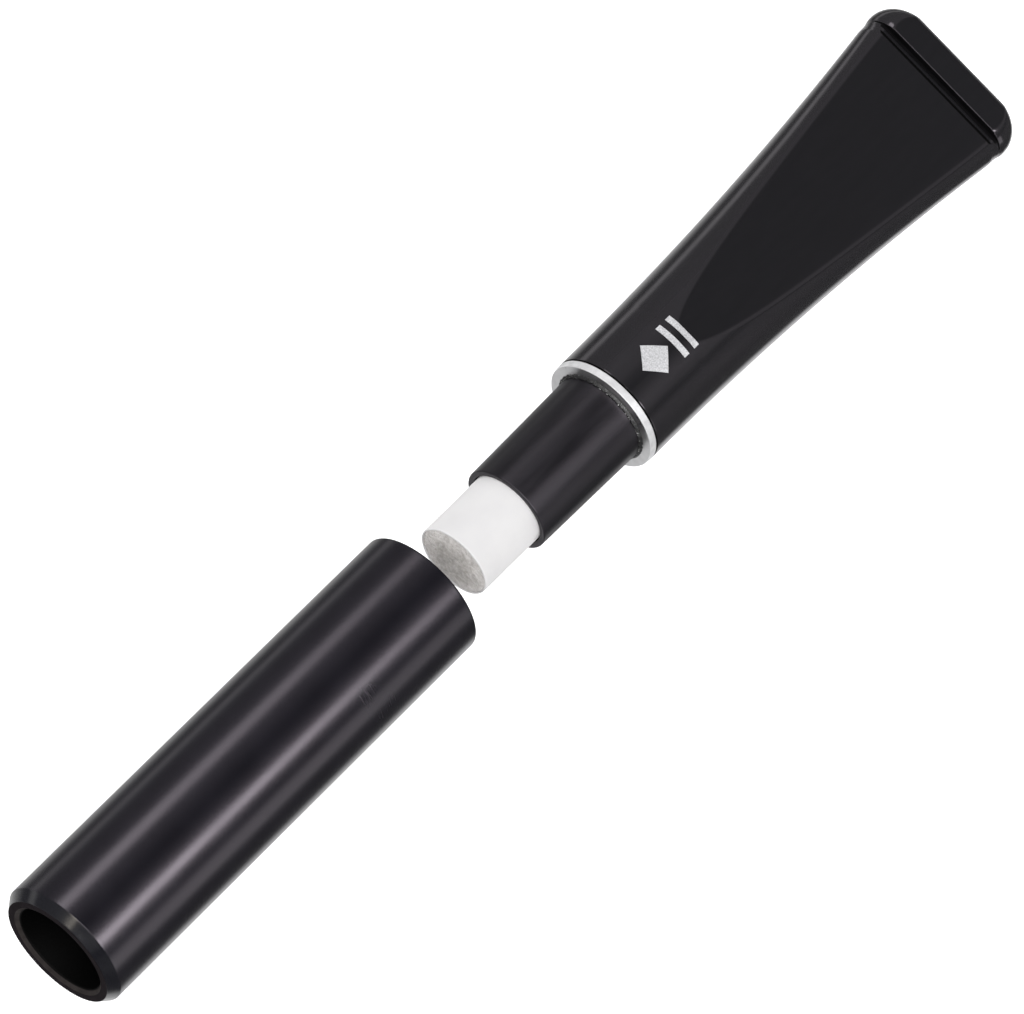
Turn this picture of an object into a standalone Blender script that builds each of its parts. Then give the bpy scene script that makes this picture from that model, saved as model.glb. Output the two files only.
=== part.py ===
"""A filter smoking holder, shown with its front tube pulled off the filter sleeve.

Every piece shares one axis along +X. The tube's front face is at the -X end and the lip
that the teeth hold is at the +X end. The mouthpiece's flats face +Z and -Z. The object lies
on z = 0, with the world origin under the middle of its length.
"""

import math

import bmesh
import bpy

MM = 0.001

# Driving dimensions, in millimetres. A "station" is a distance along the axis from the
# front face of the tube.
FILTER_DIAMETER = 9.0
FILTER_LENGTH = 38.5
TUBE_DIAMETER = 15.2
TUBE_LENGTH = 57.3
BODY_DIAMETER = 14.0
LIP_WIDTH = 21.0
LIP_THICKNESS = 7.0
MOUTHPIECE_LENGTH = 60.2

# Clearances
SLIDE_GAP = 0.2
FILTER_GAP = 0.15
GLUE_GAP = 0.1

# Stations of the pieces
TUBE_TO_FILTER = 5.2
FILTER_START = TUBE_LENGTH + TUBE_TO_FILTER
FILTER_SHOWING = 8.6
SLEEVE_START = FILTER_START + FILTER_SHOWING
SLEEVE_SHOWING = 15.8
RING_START = SLEEVE_START + SLEEVE_SHOWING
RING_THICKNESS = 0.9
MOUTHPIECE_START = RING_START + RING_THICKNESS + GLUE_GAP
TOTAL_LENGTH = MOUTHPIECE_START + MOUTHPIECE_LENGTH

# Radii
TUBE_RADIUS = TUBE_DIAMETER / 2
BODY_RADIUS = BODY_DIAMETER / 2
FILTER_RADIUS = FILTER_DIAMETER / 2
SLEEVE_BORE_RADIUS = FILTER_RADIUS + FILTER_GAP
SLEEVE_TIP_RADIUS = 5.3
SLEEVE_ROOT_RADIUS = 5.54
SOCKET_RADIUS = SLEEVE_ROOT_RADIUS + SLIDE_GAP
TUBE_BORE_RADIUS = 5.43

# Front tube
TUBE_CHAMFER_LENGTH = 1.15
TUBE_CHAMFER_DEPTH = 0.85
TUBE_MOUTH_BEVEL = 0.5
TUBE_SOCKET_DEPTH = SLEEVE_SHOWING + 0.7
EDGE_BREAK = 0.15

# Filter
PAPER_THICKNESS = 0.2
PLUG_GAP = 0.05
PLUG_LENGTH = 10.0
PLUG_INSET = 0.1

# Glued end of the sleeve and the bore behind it, as depths into the mouthpiece
SLEEVE_GLUED_LENGTH = 9.4
SLEEVE_SEAT_DEPTH = 9.6
CHAMBER_DEPTH = FILTER_START + FILTER_LENGTH - MOUTHPIECE_START + 0.3
AIRWAY_START_DEPTH = CHAMBER_DEPTH + 2.6
AIRWAY_RADIUS = 1.6
AIRWAY_END_DEPTH = MOUTHPIECE_LENGTH - 14.0
SLOT_HALF_WIDTH = 4.2
SLOT_HALF_HEIGHT = 0.9
SLOT_DEPTH = 4.0
FILTER_STOP = 0.6

# Outside of the mouthpiece, as depths from its front face
FLAT_START_DEPTH = 9.0
FACE_END_DEPTH = MOUTHPIECE_LENGTH - 5.3
FACE_HALF_THICKNESS = 3.2
GROOVE_LENGTH = 1.5
GROOVE_DEPTH = 0.6
LIP_CORNER_RADIUS = 2.8
LIP_EDGE_RADIUS = 1.2
LIP_FRONT_EDGE_RADIUS = 0.25
LIP_SIDE_RADIUS = LIP_THICKNESS / 2 + 0.2
CREASE_RADIUS_START = 0.4
CREASE_RADIUS_END = 1.0
STATION_SPACING = 2.5

# Mesh fineness
SEGMENTS = 64
HIDDEN_SEGMENTS = 48
SIDE_STEPS = 11
CREASE_STEPS = 4
EDGE_STEPS = 5
SHARP_ANGLE = math.radians(32)

# Material colours as linear RGB, with roughness and metallic
TUBE_BLACK = ((0.010, 0.010, 0.012), 0.32, 0.0)
GLOSS_BLACK = ((0.007, 0.007, 0.008), 0.10, 0.0)
SLEEVE_BLACK = ((0.012, 0.012, 0.013), 0.38, 0.0)
SILVER = ((0.80, 0.80, 0.80), 0.22, 1.0)
WHITE_PAPER = ((0.86, 0.86, 0.85), 0.75, 0.0)
FIBRE_GREY = ((0.42, 0.41, 0.38), 0.95, 0.0)
CHARCOAL = ((0.02, 0.02, 0.02), 0.90, 0.0)


def clear_scene():
    for obj in list(bpy.data.objects):
        bpy.data.objects.remove(obj, do_unlink=True)


def principled(name, look):
    colour, roughness, metallic = look
    material = bpy.data.materials.new(name)
    material.use_nodes = True
    shader = material.node_tree.nodes["Principled BSDF"]
    shader.inputs["Base Color"].default_value = (*colour, 1.0)
    shader.inputs["Roughness"].default_value = roughness
    shader.inputs["Metallic"].default_value = metallic
    return material


def place(name, bm, station, look):
    """Turns the bmesh into an object whose origin is on the common axis, at the station."""
    bmesh.ops.recalc_face_normals(bm, faces=bm.faces)
    mesh = bpy.data.meshes.new(name)
    bm.to_mesh(mesh)
    bm.free()
    mesh.shade_smooth()
    mesh.set_sharp_from_angle(angle=SHARP_ANGLE)
    mesh.materials.append(principled(name, look))
    obj = bpy.data.objects.new(name, mesh)
    obj.location = ((station - TOTAL_LENGTH / 2) * MM, 0.0, TUBE_RADIUS * MM)
    bpy.context.scene.collection.objects.link(obj)
    return obj


def skin(rings):
    """Quads through rings that have equal counts, with the last ring joined to the first."""
    bm = bmesh.new()
    rows = [[bm.verts.new((x * MM, y * MM, z * MM)) for x, y, z in ring] for ring in rings]
    count = len(rows[0])
    for row, following in zip(rows, rows[1:] + rows[:1]):
        for i in range(count):
            j = (i + 1) % count
            bm.faces.new((row[i], row[j], following[j], following[i]))
    return bm


def turned_tube(profile, segments=SEGMENTS):
    """Spins a closed outline of (x, radius) points about the X axis."""
    turns = [2 * math.pi * i / segments for i in range(segments)]
    return skin([[(x, r * math.cos(t), r * math.sin(t)) for t in turns] for x, r in profile])


def turned_rod(profile, segments=SEGMENTS):
    """Spins an open outline of (x, radius) points about the X axis and caps both ends."""
    bm = bmesh.new()
    turns = [2 * math.pi * i / segments for i in range(segments)]
    rows = [
        [bm.verts.new((x * MM, r * math.cos(t) * MM, r * math.sin(t) * MM)) for t in turns]
        for x, r in profile
    ]
    for row, following in zip(rows, rows[1:]):
        for i in range(segments):
            j = (i + 1) % segments
            bm.faces.new((row[i], row[j], following[j], following[i]))
    bm.faces.new(rows[0])
    bm.faces.new(rows[-1])
    return bm


def ease(start, end, share):
    return start + (end - start) * share


# The mouthpiece's outside: how its outline runs along the axis


def flare_half_width(depth):
    """Round at the ring, then an even curve out to the lip's full width."""
    widest = FACE_END_DEPTH + GROOVE_LENGTH + 0.6
    growth = LIP_WIDTH / 2 - BODY_RADIUS
    return BODY_RADIUS + growth * min(depth / widest, 1.0) ** 2


def face_share(depth):
    """0 where the flats begin and 1 where they end at the groove."""
    share = (depth - FLAT_START_DEPTH) / (FACE_END_DEPTH - FLAT_START_DEPTH)
    return min(max(share, 0.0), 1.0)


def face_half_thickness(depth):
    """The flats leave the round body at a shallow angle and hollow slightly to the lip."""
    share = face_share(depth)
    fall = 1.45 * share - 0.45 * share * share
    return ease(BODY_RADIUS, FACE_HALF_THICKNESS, fall)


def side_radius(depth):
    """The round sides start with the body's own radius and tighten to a near half-round."""
    return ease(BODY_RADIUS, LIP_SIDE_RADIUS, face_share(depth) ** 2)


def crease_radius(depth):
    return ease(CREASE_RADIUS_START, CREASE_RADIUS_END, face_share(depth))


def section(depth, half_width, half_height, radius, crease):
    """One ring: round sides, flat top and bottom, and a small radius along each crease.

    A full circle keeps a sliver of flat at the top and bottom, so that every ring has the
    same points in the same order.
    """
    side_y = half_width - radius
    top = min(half_height, radius * 0.9995)
    crease_y = side_y + math.sqrt((radius - crease) ** 2 - (top - crease) ** 2)
    meet = math.atan2(top - crease, crease_y - side_y)
    quarter = []
    for i in range(SIDE_STEPS + 1):
        angle = meet * i / SIDE_STEPS
        quarter.append((side_y + radius * math.cos(angle), radius * math.sin(angle)))
    for i in range(1, CREASE_STEPS + 1):
        angle = ease(meet, math.pi / 2, i / CREASE_STEPS)
        crease_z = top - crease + crease * math.sin(angle)
        quarter.append((crease_y + crease * math.cos(angle), crease_z))
    upper = quarter + [(-y, z) for y, z in reversed(quarter)]
    lower = [(y, -z) for y, z in reversed(upper[1:-1])]
    return [(depth, y, z) for y, z in upper + lower]


def body_rings():
    """The outside from the ring to the end of the flats."""
    front_edge = BODY_RADIUS - EDGE_BREAK
    rings = [section(0.0, front_edge, front_edge, front_edge, CREASE_RADIUS_START)]
    depths = [EDGE_BREAK, FLAT_START_DEPTH / 3, FLAT_START_DEPTH * 2 / 3, FLAT_START_DEPTH]
    steps = round((FACE_END_DEPTH - FLAT_START_DEPTH) / STATION_SPACING)
    for i in range(1, steps + 1):
        depths.append(ease(FLAT_START_DEPTH, FACE_END_DEPTH, i / steps))
    for depth in depths:
        width = flare_half_width(depth)
        thickness = face_half_thickness(depth)
        rings.append(section(depth, width, thickness, side_radius(depth), crease_radius(depth)))
    return rings


def groove_rings():
    """The face eases down into the groove, and the lip's front wall stands up behind it."""
    floor = FACE_HALF_THICKNESS - GROOVE_DEPTH
    lip = LIP_THICKNESS / 2
    edge = LIP_FRONT_EDGE_RADIUS
    wall = FACE_END_DEPTH + GROOVE_LENGTH
    outline = [
        (FACE_END_DEPTH + 0.22 * GROOVE_LENGTH, FACE_HALF_THICKNESS - 0.2 * GROOVE_DEPTH),
        (FACE_END_DEPTH + 0.42 * GROOVE_LENGTH, FACE_HALF_THICKNESS - 0.8 * GROOVE_DEPTH),
        (FACE_END_DEPTH + 0.6 * GROOVE_LENGTH, floor),
        (wall - 0.1, floor),
        (wall, lip - edge),
    ]
    for i in range(1, 4):
        turn = math.radians(30 * i)
        outline.append((wall + edge - edge * math.cos(turn), lip - edge + edge * math.sin(turn)))
    return [
        section(depth, flare_half_width(depth), top, LIP_SIDE_RADIUS, CREASE_RADIUS_END)
        for depth, top in outline
    ]


def lip_rings():
    """The lip, rounded in plan by its corner radius and in section by its edge radius."""
    rings = []
    start = MOUTHPIECE_LENGTH - LIP_CORNER_RADIUS
    for i in range(EDGE_STEPS * 2 + 1):
        turn = math.pi / 2 * i / (EDGE_STEPS * 2)
        depth = start + LIP_CORNER_RADIUS * math.sin(turn)
        width = LIP_WIDTH / 2 - LIP_CORNER_RADIUS * (1 - math.cos(turn))
        past_edge = max(depth - (MOUTHPIECE_LENGTH - LIP_EDGE_RADIUS), 0.0)
        drop = LIP_EDGE_RADIUS - math.sqrt(max(LIP_EDGE_RADIUS**2 - past_edge**2, 0.0))
        radius = LIP_SIDE_RADIUS - drop
        rings.append(section(depth, width, LIP_THICKNESS / 2 - drop, radius, CREASE_RADIUS_END))
    return rings


def airway_rings():
    """From the slot in the lip back to the sleeve's socket."""
    rings = []
    slot_back = MOUTHPIECE_LENGTH - SLOT_DEPTH
    slot = [(MOUTHPIECE_LENGTH, 1.0), (slot_back, 1.0), (ease(slot_back, AIRWAY_END_DEPTH, 0.5), 0.5)]
    for depth, widening in slot:
        half_height = ease(AIRWAY_RADIUS, SLOT_HALF_HEIGHT, widening)
        half_width = ease(AIRWAY_RADIUS, SLOT_HALF_WIDTH, widening)
        rings.append(section(depth, half_width, half_height, half_height, half_height / 4))
    turned_bore = [
        (AIRWAY_END_DEPTH, AIRWAY_RADIUS),
        (AIRWAY_START_DEPTH, AIRWAY_RADIUS),
        (CHAMBER_DEPTH, SLEEVE_BORE_RADIUS - FILTER_STOP),
        (CHAMBER_DEPTH, SLEEVE_BORE_RADIUS),
        (SLEEVE_SEAT_DEPTH, SLEEVE_BORE_RADIUS),
        (SLEEVE_SEAT_DEPTH, SOCKET_RADIUS),
        (0.0, SOCKET_RADIUS),
    ]
    return rings + [section(depth, r, r, r, r / 4) for depth, r in turned_bore]


def make_mouthpiece():
    rings = body_rings() + groove_rings() + lip_rings() + airway_rings()
    place("mouthpiece", skin(rings), MOUTHPIECE_START, GLOSS_BLACK)


def make_front_tube():
    socket = TUBE_LENGTH - TUBE_SOCKET_DEPTH
    profile = [
        (0.0, TUBE_BORE_RADIUS + TUBE_MOUTH_BEVEL),
        (0.0, TUBE_RADIUS - TUBE_CHAMFER_DEPTH - EDGE_BREAK),
        (EDGE_BREAK, TUBE_RADIUS - TUBE_CHAMFER_DEPTH),
        (TUBE_CHAMFER_LENGTH, TUBE_RADIUS - 0.03),
        (TUBE_CHAMFER_LENGTH + EDGE_BREAK, TUBE_RADIUS),
        (TUBE_LENGTH - EDGE_BREAK, TUBE_RADIUS),
        (TUBE_LENGTH, TUBE_RADIUS - EDGE_BREAK),
        (TUBE_LENGTH, SOCKET_RADIUS + EDGE_BREAK),
        (TUBE_LENGTH - EDGE_BREAK, SOCKET_RADIUS),
        (socket, SOCKET_RADIUS),
        (socket, TUBE_BORE_RADIUS),
        (TUBE_MOUTH_BEVEL, TUBE_BORE_RADIUS),
    ]
    place("front_tube", turned_tube(profile), 0.0, TUBE_BLACK)


def make_filter_sleeve():
    root = SLEEVE_SHOWING
    end = SLEEVE_SHOWING + RING_THICKNESS + GLUE_GAP + SLEEVE_GLUED_LENGTH
    profile = [
        (0.0, SLEEVE_BORE_RADIUS + EDGE_BREAK),
        (0.0, SLEEVE_TIP_RADIUS - EDGE_BREAK),
        (EDGE_BREAK, SLEEVE_TIP_RADIUS),
        (root, SLEEVE_ROOT_RADIUS),
        (end, SLEEVE_ROOT_RADIUS),
        (end, SLEEVE_BORE_RADIUS),
        (EDGE_BREAK, SLEEVE_BORE_RADIUS),
    ]
    place("filter_sleeve", turned_tube(profile), SLEEVE_START, SLEEVE_BLACK)


def make_ferrule_ring():
    hole = SLEEVE_ROOT_RADIUS + GLUE_GAP
    lip = EDGE_BREAK / 2
    profile = [
        (0.0, hole),
        (0.0, BODY_RADIUS - 0.08 - lip),
        (lip, BODY_RADIUS - 0.08),
        (RING_THICKNESS - lip, BODY_RADIUS),
        (RING_THICKNESS, BODY_RADIUS - lip),
        (RING_THICKNESS, hole),
    ]
    place("ferrule_ring", turned_tube(profile), RING_START, SILVER)


def make_filter_paper():
    inner = FILTER_RADIUS - PAPER_THICKNESS
    profile = [
        (0.0, inner),
        (0.0, FILTER_RADIUS - PAPER_THICKNESS / 2),
        (PAPER_THICKNESS / 2, FILTER_RADIUS),
        (FILTER_LENGTH - PAPER_THICKNESS / 2, FILTER_RADIUS),
        (FILTER_LENGTH, FILTER_RADIUS - PAPER_THICKNESS / 2),
        (FILTER_LENGTH, inner),
    ]
    place("filter_paper", turned_tube(profile), FILTER_START, WHITE_PAPER)


def make_filter_core(name, start, length, look):
    """One length of what fills the paper: a fibre plug or the charcoal between the plugs."""
    radius = FILTER_RADIUS - PAPER_THICKNESS - PLUG_GAP
    edge = EDGE_BREAK
    profile = [(0.0, radius - edge), (edge, radius), (length - edge, radius), (length, radius - edge)]
    place(name, turned_rod(profile, HIDDEN_SEGMENTS), start, look)


def make_filter():
    make_filter_paper()
    front = FILTER_START + PLUG_INSET
    charcoal = front + PLUG_LENGTH + GLUE_GAP
    rear = FILTER_START + FILTER_LENGTH - PLUG_INSET - PLUG_LENGTH
    make_filter_core("front_filter_plug", front, PLUG_LENGTH, FIBRE_GREY)
    make_filter_core("charcoal_bed", charcoal, rear - GLUE_GAP - charcoal, CHARCOAL)
    make_filter_core("rear_filter_plug", rear, PLUG_LENGTH, FIBRE_GREY)


def main():
    clear_scene()
    make_front_tube()
    make_filter()
    make_filter_sleeve()
    make_ferrule_ring()
    make_mouthpiece()


main()
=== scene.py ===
"""Looks for a filter smoking holder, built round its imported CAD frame.

Every piece shares one axis along +X: the front tube's mouth is at -X and the lip that the
teeth hold is at +X. Shapes are worked out in millimetres, mostly from the CAD nodes' boxes.
"""

import math
import random

import bpy
import numpy as np
from mathutils import Matrix, Vector, noise


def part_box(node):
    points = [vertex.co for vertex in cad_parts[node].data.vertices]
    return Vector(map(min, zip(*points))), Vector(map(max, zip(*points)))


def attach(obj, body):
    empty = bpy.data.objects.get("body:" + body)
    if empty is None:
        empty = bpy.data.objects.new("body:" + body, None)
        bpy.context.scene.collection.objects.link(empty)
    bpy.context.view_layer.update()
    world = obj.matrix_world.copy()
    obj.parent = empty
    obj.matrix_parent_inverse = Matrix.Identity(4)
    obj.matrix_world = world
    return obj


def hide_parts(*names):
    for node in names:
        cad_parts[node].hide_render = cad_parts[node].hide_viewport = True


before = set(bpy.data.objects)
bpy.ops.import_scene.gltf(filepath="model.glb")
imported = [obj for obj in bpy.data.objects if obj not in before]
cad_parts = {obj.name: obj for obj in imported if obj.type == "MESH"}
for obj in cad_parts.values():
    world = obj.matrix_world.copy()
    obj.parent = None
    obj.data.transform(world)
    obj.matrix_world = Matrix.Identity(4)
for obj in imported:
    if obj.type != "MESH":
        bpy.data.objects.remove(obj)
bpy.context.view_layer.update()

MM = 0.001
MICRON = 0.000001


def box_mm(node):
    """The two corners of a CAD node's box in millimetres."""
    low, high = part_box(node)
    return low / MM, high / MM


TUBE_LOW, TUBE_HIGH = box_mm("front_tube")
SLEEVE_LOW, SLEEVE_HIGH = box_mm("filter_sleeve")
RING_LOW, RING_HIGH = box_mm("ferrule_ring")
PAPER_LOW, PAPER_HIGH = box_mm("filter_paper")
PLUG_LOW, PLUG_HIGH = box_mm("front_filter_plug")
BODY_LOW, BODY_HIGH = box_mm("mouthpiece")

AXIS_HEIGHT = (TUBE_LOW.z + TUBE_HIGH.z) / 2
TUBE_RADIUS = (TUBE_HIGH.z - TUBE_LOW.z) / 2
TUBE_LENGTH = TUBE_HIGH.x - TUBE_LOW.x
RING_RADIUS = (RING_HIGH.z - RING_LOW.z) / 2
RING_THICKNESS = RING_HIGH.x - RING_LOW.x
PAPER_RADIUS = (PAPER_HIGH.z - PAPER_LOW.z) / 2
PAPER_LENGTH = PAPER_HIGH.x - PAPER_LOW.x
PLUG_RADIUS = (PLUG_HIGH.z - PLUG_LOW.z) / 2
SLEEVE_ROOT_RADIUS = (SLEEVE_HIGH.z - SLEEVE_LOW.z) / 2
SLEEVE_LENGTH = SLEEVE_HIGH.x - SLEEVE_LOW.x
BODY_RADIUS = (BODY_HIGH.z - BODY_LOW.z) / 2
BODY_LENGTH = BODY_HIGH.x - BODY_LOW.x
LIP_WIDTH = BODY_HIGH.y - BODY_LOW.y

# Sizes of the turned pieces that the boxes don't give
TUBE_BORE_RADIUS = 5.43
TUBE_SOCKET_RADIUS = 5.74
TUBE_SOCKET_DEPTH = 16.5
TUBE_CHAMFER_LENGTH = 1.15
TUBE_CHAMFER_DEPTH = 0.85
TUBE_MOUTH_BEVEL = 0.5
SLEEVE_TIP_RADIUS = 5.3
SLEEVE_BORE_RADIUS = 4.65
SLEEVE_SHOWING = RING_LOW.x - SLEEVE_LOW.x
RING_HOLE_CLEARANCE = 0.1
RING_HOLE_RADIUS = SLEEVE_ROOT_RADIUS + RING_HOLE_CLEARANCE
PAPER_THICKNESS = 0.2

# Outside of the mouthpiece, with depths measured from its front face
FLAT_START_DEPTH = 9.0
GROOVE_LENGTH = 1.5
LIP_LENGTH = 3.8
FACE_END_DEPTH = BODY_LENGTH - LIP_LENGTH - GROOVE_LENGTH
FACE_HALF_THICKNESS = 3.2
FACE_HOLLOW = 0.45
WIDEST_PAST_GROOVE = 0.6
LIP_THICKNESS = 7.0
LIP_CORNER_RADIUS = 2.8
LIP_EDGE_RADIUS = 1.2
LIP_FRONT_EDGE_RADIUS = 0.09
LIP_SIDE_RADIUS = 3.7
CREASE_RADIUS_START = 1.2
CREASE_RADIUS_END = 1.1
FRONT_EDGE_BREAK = 0.15

# Groove between the face and the lip: distances past the face's end, and drops below the face
STEP_START = 0.16
STEP_END = 0.54
STEP_DROP = 0.20
LEDGE_START = 0.60
LEDGE_END = 0.90
LEDGE_DROP = 0.27
SLOT_START = 0.96
SLOT_FLOOR_START = 1.04
SLOT_DROP = 0.6
NOTCH_DEPTH = 0.09
NOTCH_RUN_OUT = 0.85

# Airway of the mouthpiece, from the slot in the lip's end to the sleeve's seat
SLEEVE_SEAT_DEPTH = 9.6
SLEEVE_SEAT_CLEARANCE = 0.2
FILTER_END_GAP = 0.3
CHAMBER_DEPTH = PAPER_HIGH.x - BODY_LOW.x + FILTER_END_GAP
FUNNEL_LENGTH = 2.6
AIRWAY_START_DEPTH = CHAMBER_DEPTH + FUNNEL_LENGTH
AIRWAY_RADIUS = 1.6
AIRWAY_END_DEPTH = BODY_LENGTH - 14.0
AIRWAY_SLOT_HALF_WIDTH = 4.2
AIRWAY_SLOT_HALF_HEIGHT = 0.9
AIRWAY_SLOT_DEPTH = 4.0
FILTER_STOP = 0.6
BORE_CREASE_SHARE = 0.25

# Mesh fineness
SEGMENTS = 192
ARC_STEPS = 5
SIDE_STEPS = 30
CREASE_STEPS = 10
FLAT_STEPS = 8
EDGE_STEPS = 6
LIP_STEPS = 24
STATION_SPACING = 0.8
END_GAP = 0.05
SUPPORT_GAP = 0.12
SUPPORT_SPACING = 6.0
SHARP_ANGLE = math.radians(35)


# Shapes turned about the axis


def rounded(corners):
    """A closed outline of (x, radius, rounding) corners as points, with each corner an arc."""
    points = []
    for i, (x, r, rounding) in enumerate(corners):
        here = Vector((x, r))
        before = (Vector(corners[i - 1][:2]) - here).normalized()
        after = (Vector(corners[(i + 1) % len(corners)][:2]) - here).normalized()
        half = before.angle(after) / 2
        centre = here + (before + after).normalized() * rounding / math.sin(half)
        arm = here + before * rounding / math.tan(half) - centre
        turn = math.pi - 2 * half
        if before.cross(after) > 0:
            turn = -turn
        for k in range(ARC_STEPS + 1):
            points.append(centre + Matrix.Rotation(turn * k / ARC_STEPS, 2) @ arm)
    return points


def supported(points, gap=SUPPORT_GAP):
    """Adds a point near each end of the long stretches, so that shading stays flat along them."""
    kept = []
    for i, here in enumerate(points):
        following = points[(i + 1) % len(points)]
        kept.append(here)
        length = (following - here).length
        if length > 4 * gap:
            kept.append(here.lerp(following, gap / length))
            middle_steps = max(int(length / SUPPORT_SPACING), 1)
            for k in range(1, middle_steps):
                kept.append(here.lerp(following, k / middle_steps))
            kept.append(here.lerp(following, 1 - gap / length))
    return kept


def ring_mesh(rings, closed):
    """Points and quads through rings of equal counts; closed joins the last ring to the first."""
    count = len(rings[0])
    points = [p for ring in rings for p in ring]
    faces = []
    last = len(rings) if closed else len(rings) - 1
    for j in range(last):
        row, following = j * count, (j + 1) % len(rings) * count
        for i in range(count):
            k = (i + 1) % count
            faces.append((row + i, row + k, following + k, following + i))
    return points, faces


def turned(profile, start):
    """Spins a closed outline of (x, radius) points about the axis, from the start's x."""
    turns = [2 * math.pi * i / SEGMENTS for i in range(SEGMENTS)]
    rings = [
        [(start + x, r * math.sin(t), AXIS_HEIGHT + r * math.cos(t)) for t in turns]
        for x, r in profile
    ]
    return ring_mesh(rings, True)


def add_shape(points, faces, shape):
    """Adds the points and faces of one more shape to the lists of a piece."""
    shape_points, shape_faces = shape
    offset = len(points)
    points += shape_points
    faces += [tuple(offset + i for i in face) for face in shape_faces]


def make_piece(name, points, faces, material, body, slot, *stands_for):
    """One object that moves with its body, from points in millimetres."""
    mesh = bpy.data.meshes.new(name)
    mesh.from_pydata([(x * MM, y * MM, z * MM) for x, y, z in points], [], faces)
    mesh.validate()
    mesh.shade_smooth()
    mesh.set_sharp_from_angle(angle=SHARP_ANGLE)
    mesh.materials.append(material)
    piece = bpy.data.objects.new(name, mesh)
    bpy.context.scene.collection.objects.link(piece)
    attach(piece, body)
    if stands_for:
        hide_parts(*stands_for)
    return piece


def face_radius(face):
    """Distance from the axis to the middle of a face, in millimetres."""
    return math.hypot(face.center.y, face.center.z - AXIS_HEIGHT * MM) / MM


# Materials


# Tint of what a surface mirrors: plain, and the black plastics' faint plum
PLAIN_GLINT = (1.0, 1.0, 1.0)
PLUM_GLINT = (1.0, 0.9, 1.0)


class Look:
    """A Principled material with short calls for the nodes that vary it.

    Colour and roughness are given here only where no node feeds them.
    """

    def __init__(self, name, colour=None, roughness=None, metallic=0.0, glint=PLAIN_GLINT):
        self.material = bpy.data.materials.new(name)
        self.material.use_nodes = True
        self.tree = self.material.node_tree
        self.shader = self.tree.nodes["Principled BSDF"]
        self.set("Metallic", metallic)
        self.set("Specular Tint", (*glint, 1.0))
        if colour is not None:
            self.set("Base Color", (*colour, 1.0))
        if roughness is not None:
            self.set("Roughness", roughness)
        self.place = self.tree.nodes.new("ShaderNodeTexCoord").outputs["Object"]

    def set(self, socket, value):
        """Puts a value that is the same all over on one of the shader's own sockets."""
        self.shader.inputs[socket].default_value = value

    def grain(self, scale, stretch=(1.0, 1.0, 1.0), detail=2.0):
        """Noise with this many features per metre, stretched where stretch is below 1."""
        mapping = self.tree.nodes.new("ShaderNodeMapping")
        mapping.inputs["Scale"].default_value = stretch
        texture = self.tree.nodes.new("ShaderNodeTexNoise")
        texture.inputs["Scale"].default_value = scale
        texture.inputs["Detail"].default_value = detail
        self.tree.links.new(self.place, mapping.inputs["Vector"])
        self.tree.links.new(mapping.outputs["Vector"], texture.inputs["Vector"])
        return texture.outputs["Fac"]

    def between(self, factor, low, high, start=0.3, end=0.7):
        """A number that runs from low to high as the factor runs from start to end."""
        node = self.tree.nodes.new("ShaderNodeMapRange")
        node.inputs["From Min"].default_value = start
        node.inputs["From Max"].default_value = end
        node.inputs["To Min"].default_value = low
        node.inputs["To Max"].default_value = high
        self.tree.links.new(factor, node.inputs["Value"])
        return node.outputs["Result"]

    def combined(self, operation, first, second):
        """Two outputs joined by one of the Math node's operations."""
        node = self.tree.nodes.new("ShaderNodeMath")
        node.operation = operation
        self.tree.links.new(first, node.inputs[0])
        self.tree.links.new(second, node.inputs[1])
        return node.outputs["Value"]

    def times(self, first, second):
        """One output times another."""
        return self.combined("MULTIPLY", first, second)

    def plus(self, first, second):
        """One output plus another."""
        return self.combined("ADD", first, second)

    def near(self, place_mm, reach_mm):
        """1 at a place on the piece, falling to 0 at the reach."""
        distance = self.tree.nodes.new("ShaderNodeVectorMath")
        distance.operation = "DISTANCE"
        distance.inputs[1].default_value = [value * MM for value in place_mm]
        self.tree.links.new(self.place, distance.inputs[0])
        return self.between(distance.outputs["Value"], 1.0, 0.0, 0.0, reach_mm * MM)

    def from_axis(self):
        """Distance from the common axis in metres."""
        mapping = self.tree.nodes.new("ShaderNodeMapping")
        mapping.inputs["Location"].default_value = (0.0, 0.0, -AXIS_HEIGHT * MM)
        mapping.inputs["Scale"].default_value = (0.0, 1.0, 1.0)
        length = self.tree.nodes.new("ShaderNodeVectorMath")
        length.operation = "LENGTH"
        self.tree.links.new(self.place, mapping.inputs["Vector"])
        self.tree.links.new(mapping.outputs["Vector"], length.inputs[0])
        return length.outputs["Value"]

    def tint(self, factor, dark, light, start=0.3, end=0.7):
        """A colour that runs from dark to light as the factor runs from start to end."""
        ramp = self.tree.nodes.new("ShaderNodeValToRGB")
        ramp.color_ramp.elements[0].position = start
        ramp.color_ramp.elements[0].color = (*dark, 1.0)
        ramp.color_ramp.elements[1].position = end
        ramp.color_ramp.elements[1].color = (*light, 1.0)
        self.tree.links.new(factor, ramp.inputs["Fac"])
        return ramp.outputs["Color"]

    def feed(self, output, socket):
        """Lets a node's output set one of the shader's sockets."""
        self.tree.links.new(output, self.shader.inputs[socket])

    def relief(self, height, depth):
        """Bump whose full height is depth metres, on top of any relief given before."""
        bump = self.tree.nodes.new("ShaderNodeBump")
        bump.inputs["Distance"].default_value = depth
        self.tree.links.new(height, bump.inputs["Height"])
        before = self.shader.inputs["Normal"]
        if before.is_linked:
            self.tree.links.new(before.links[0].from_socket, bump.inputs["Normal"])
        self.tree.links.new(bump.outputs["Normal"], before)


# Scuffs on the tube: distance from its mouth, turn towards +Y in degrees, and reach
TUBE_SCUFFS = ((41.5, -27.0, 1.4), (44.0, -48.0, 0.8), (42.5, -52.0, 0.8))


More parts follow.
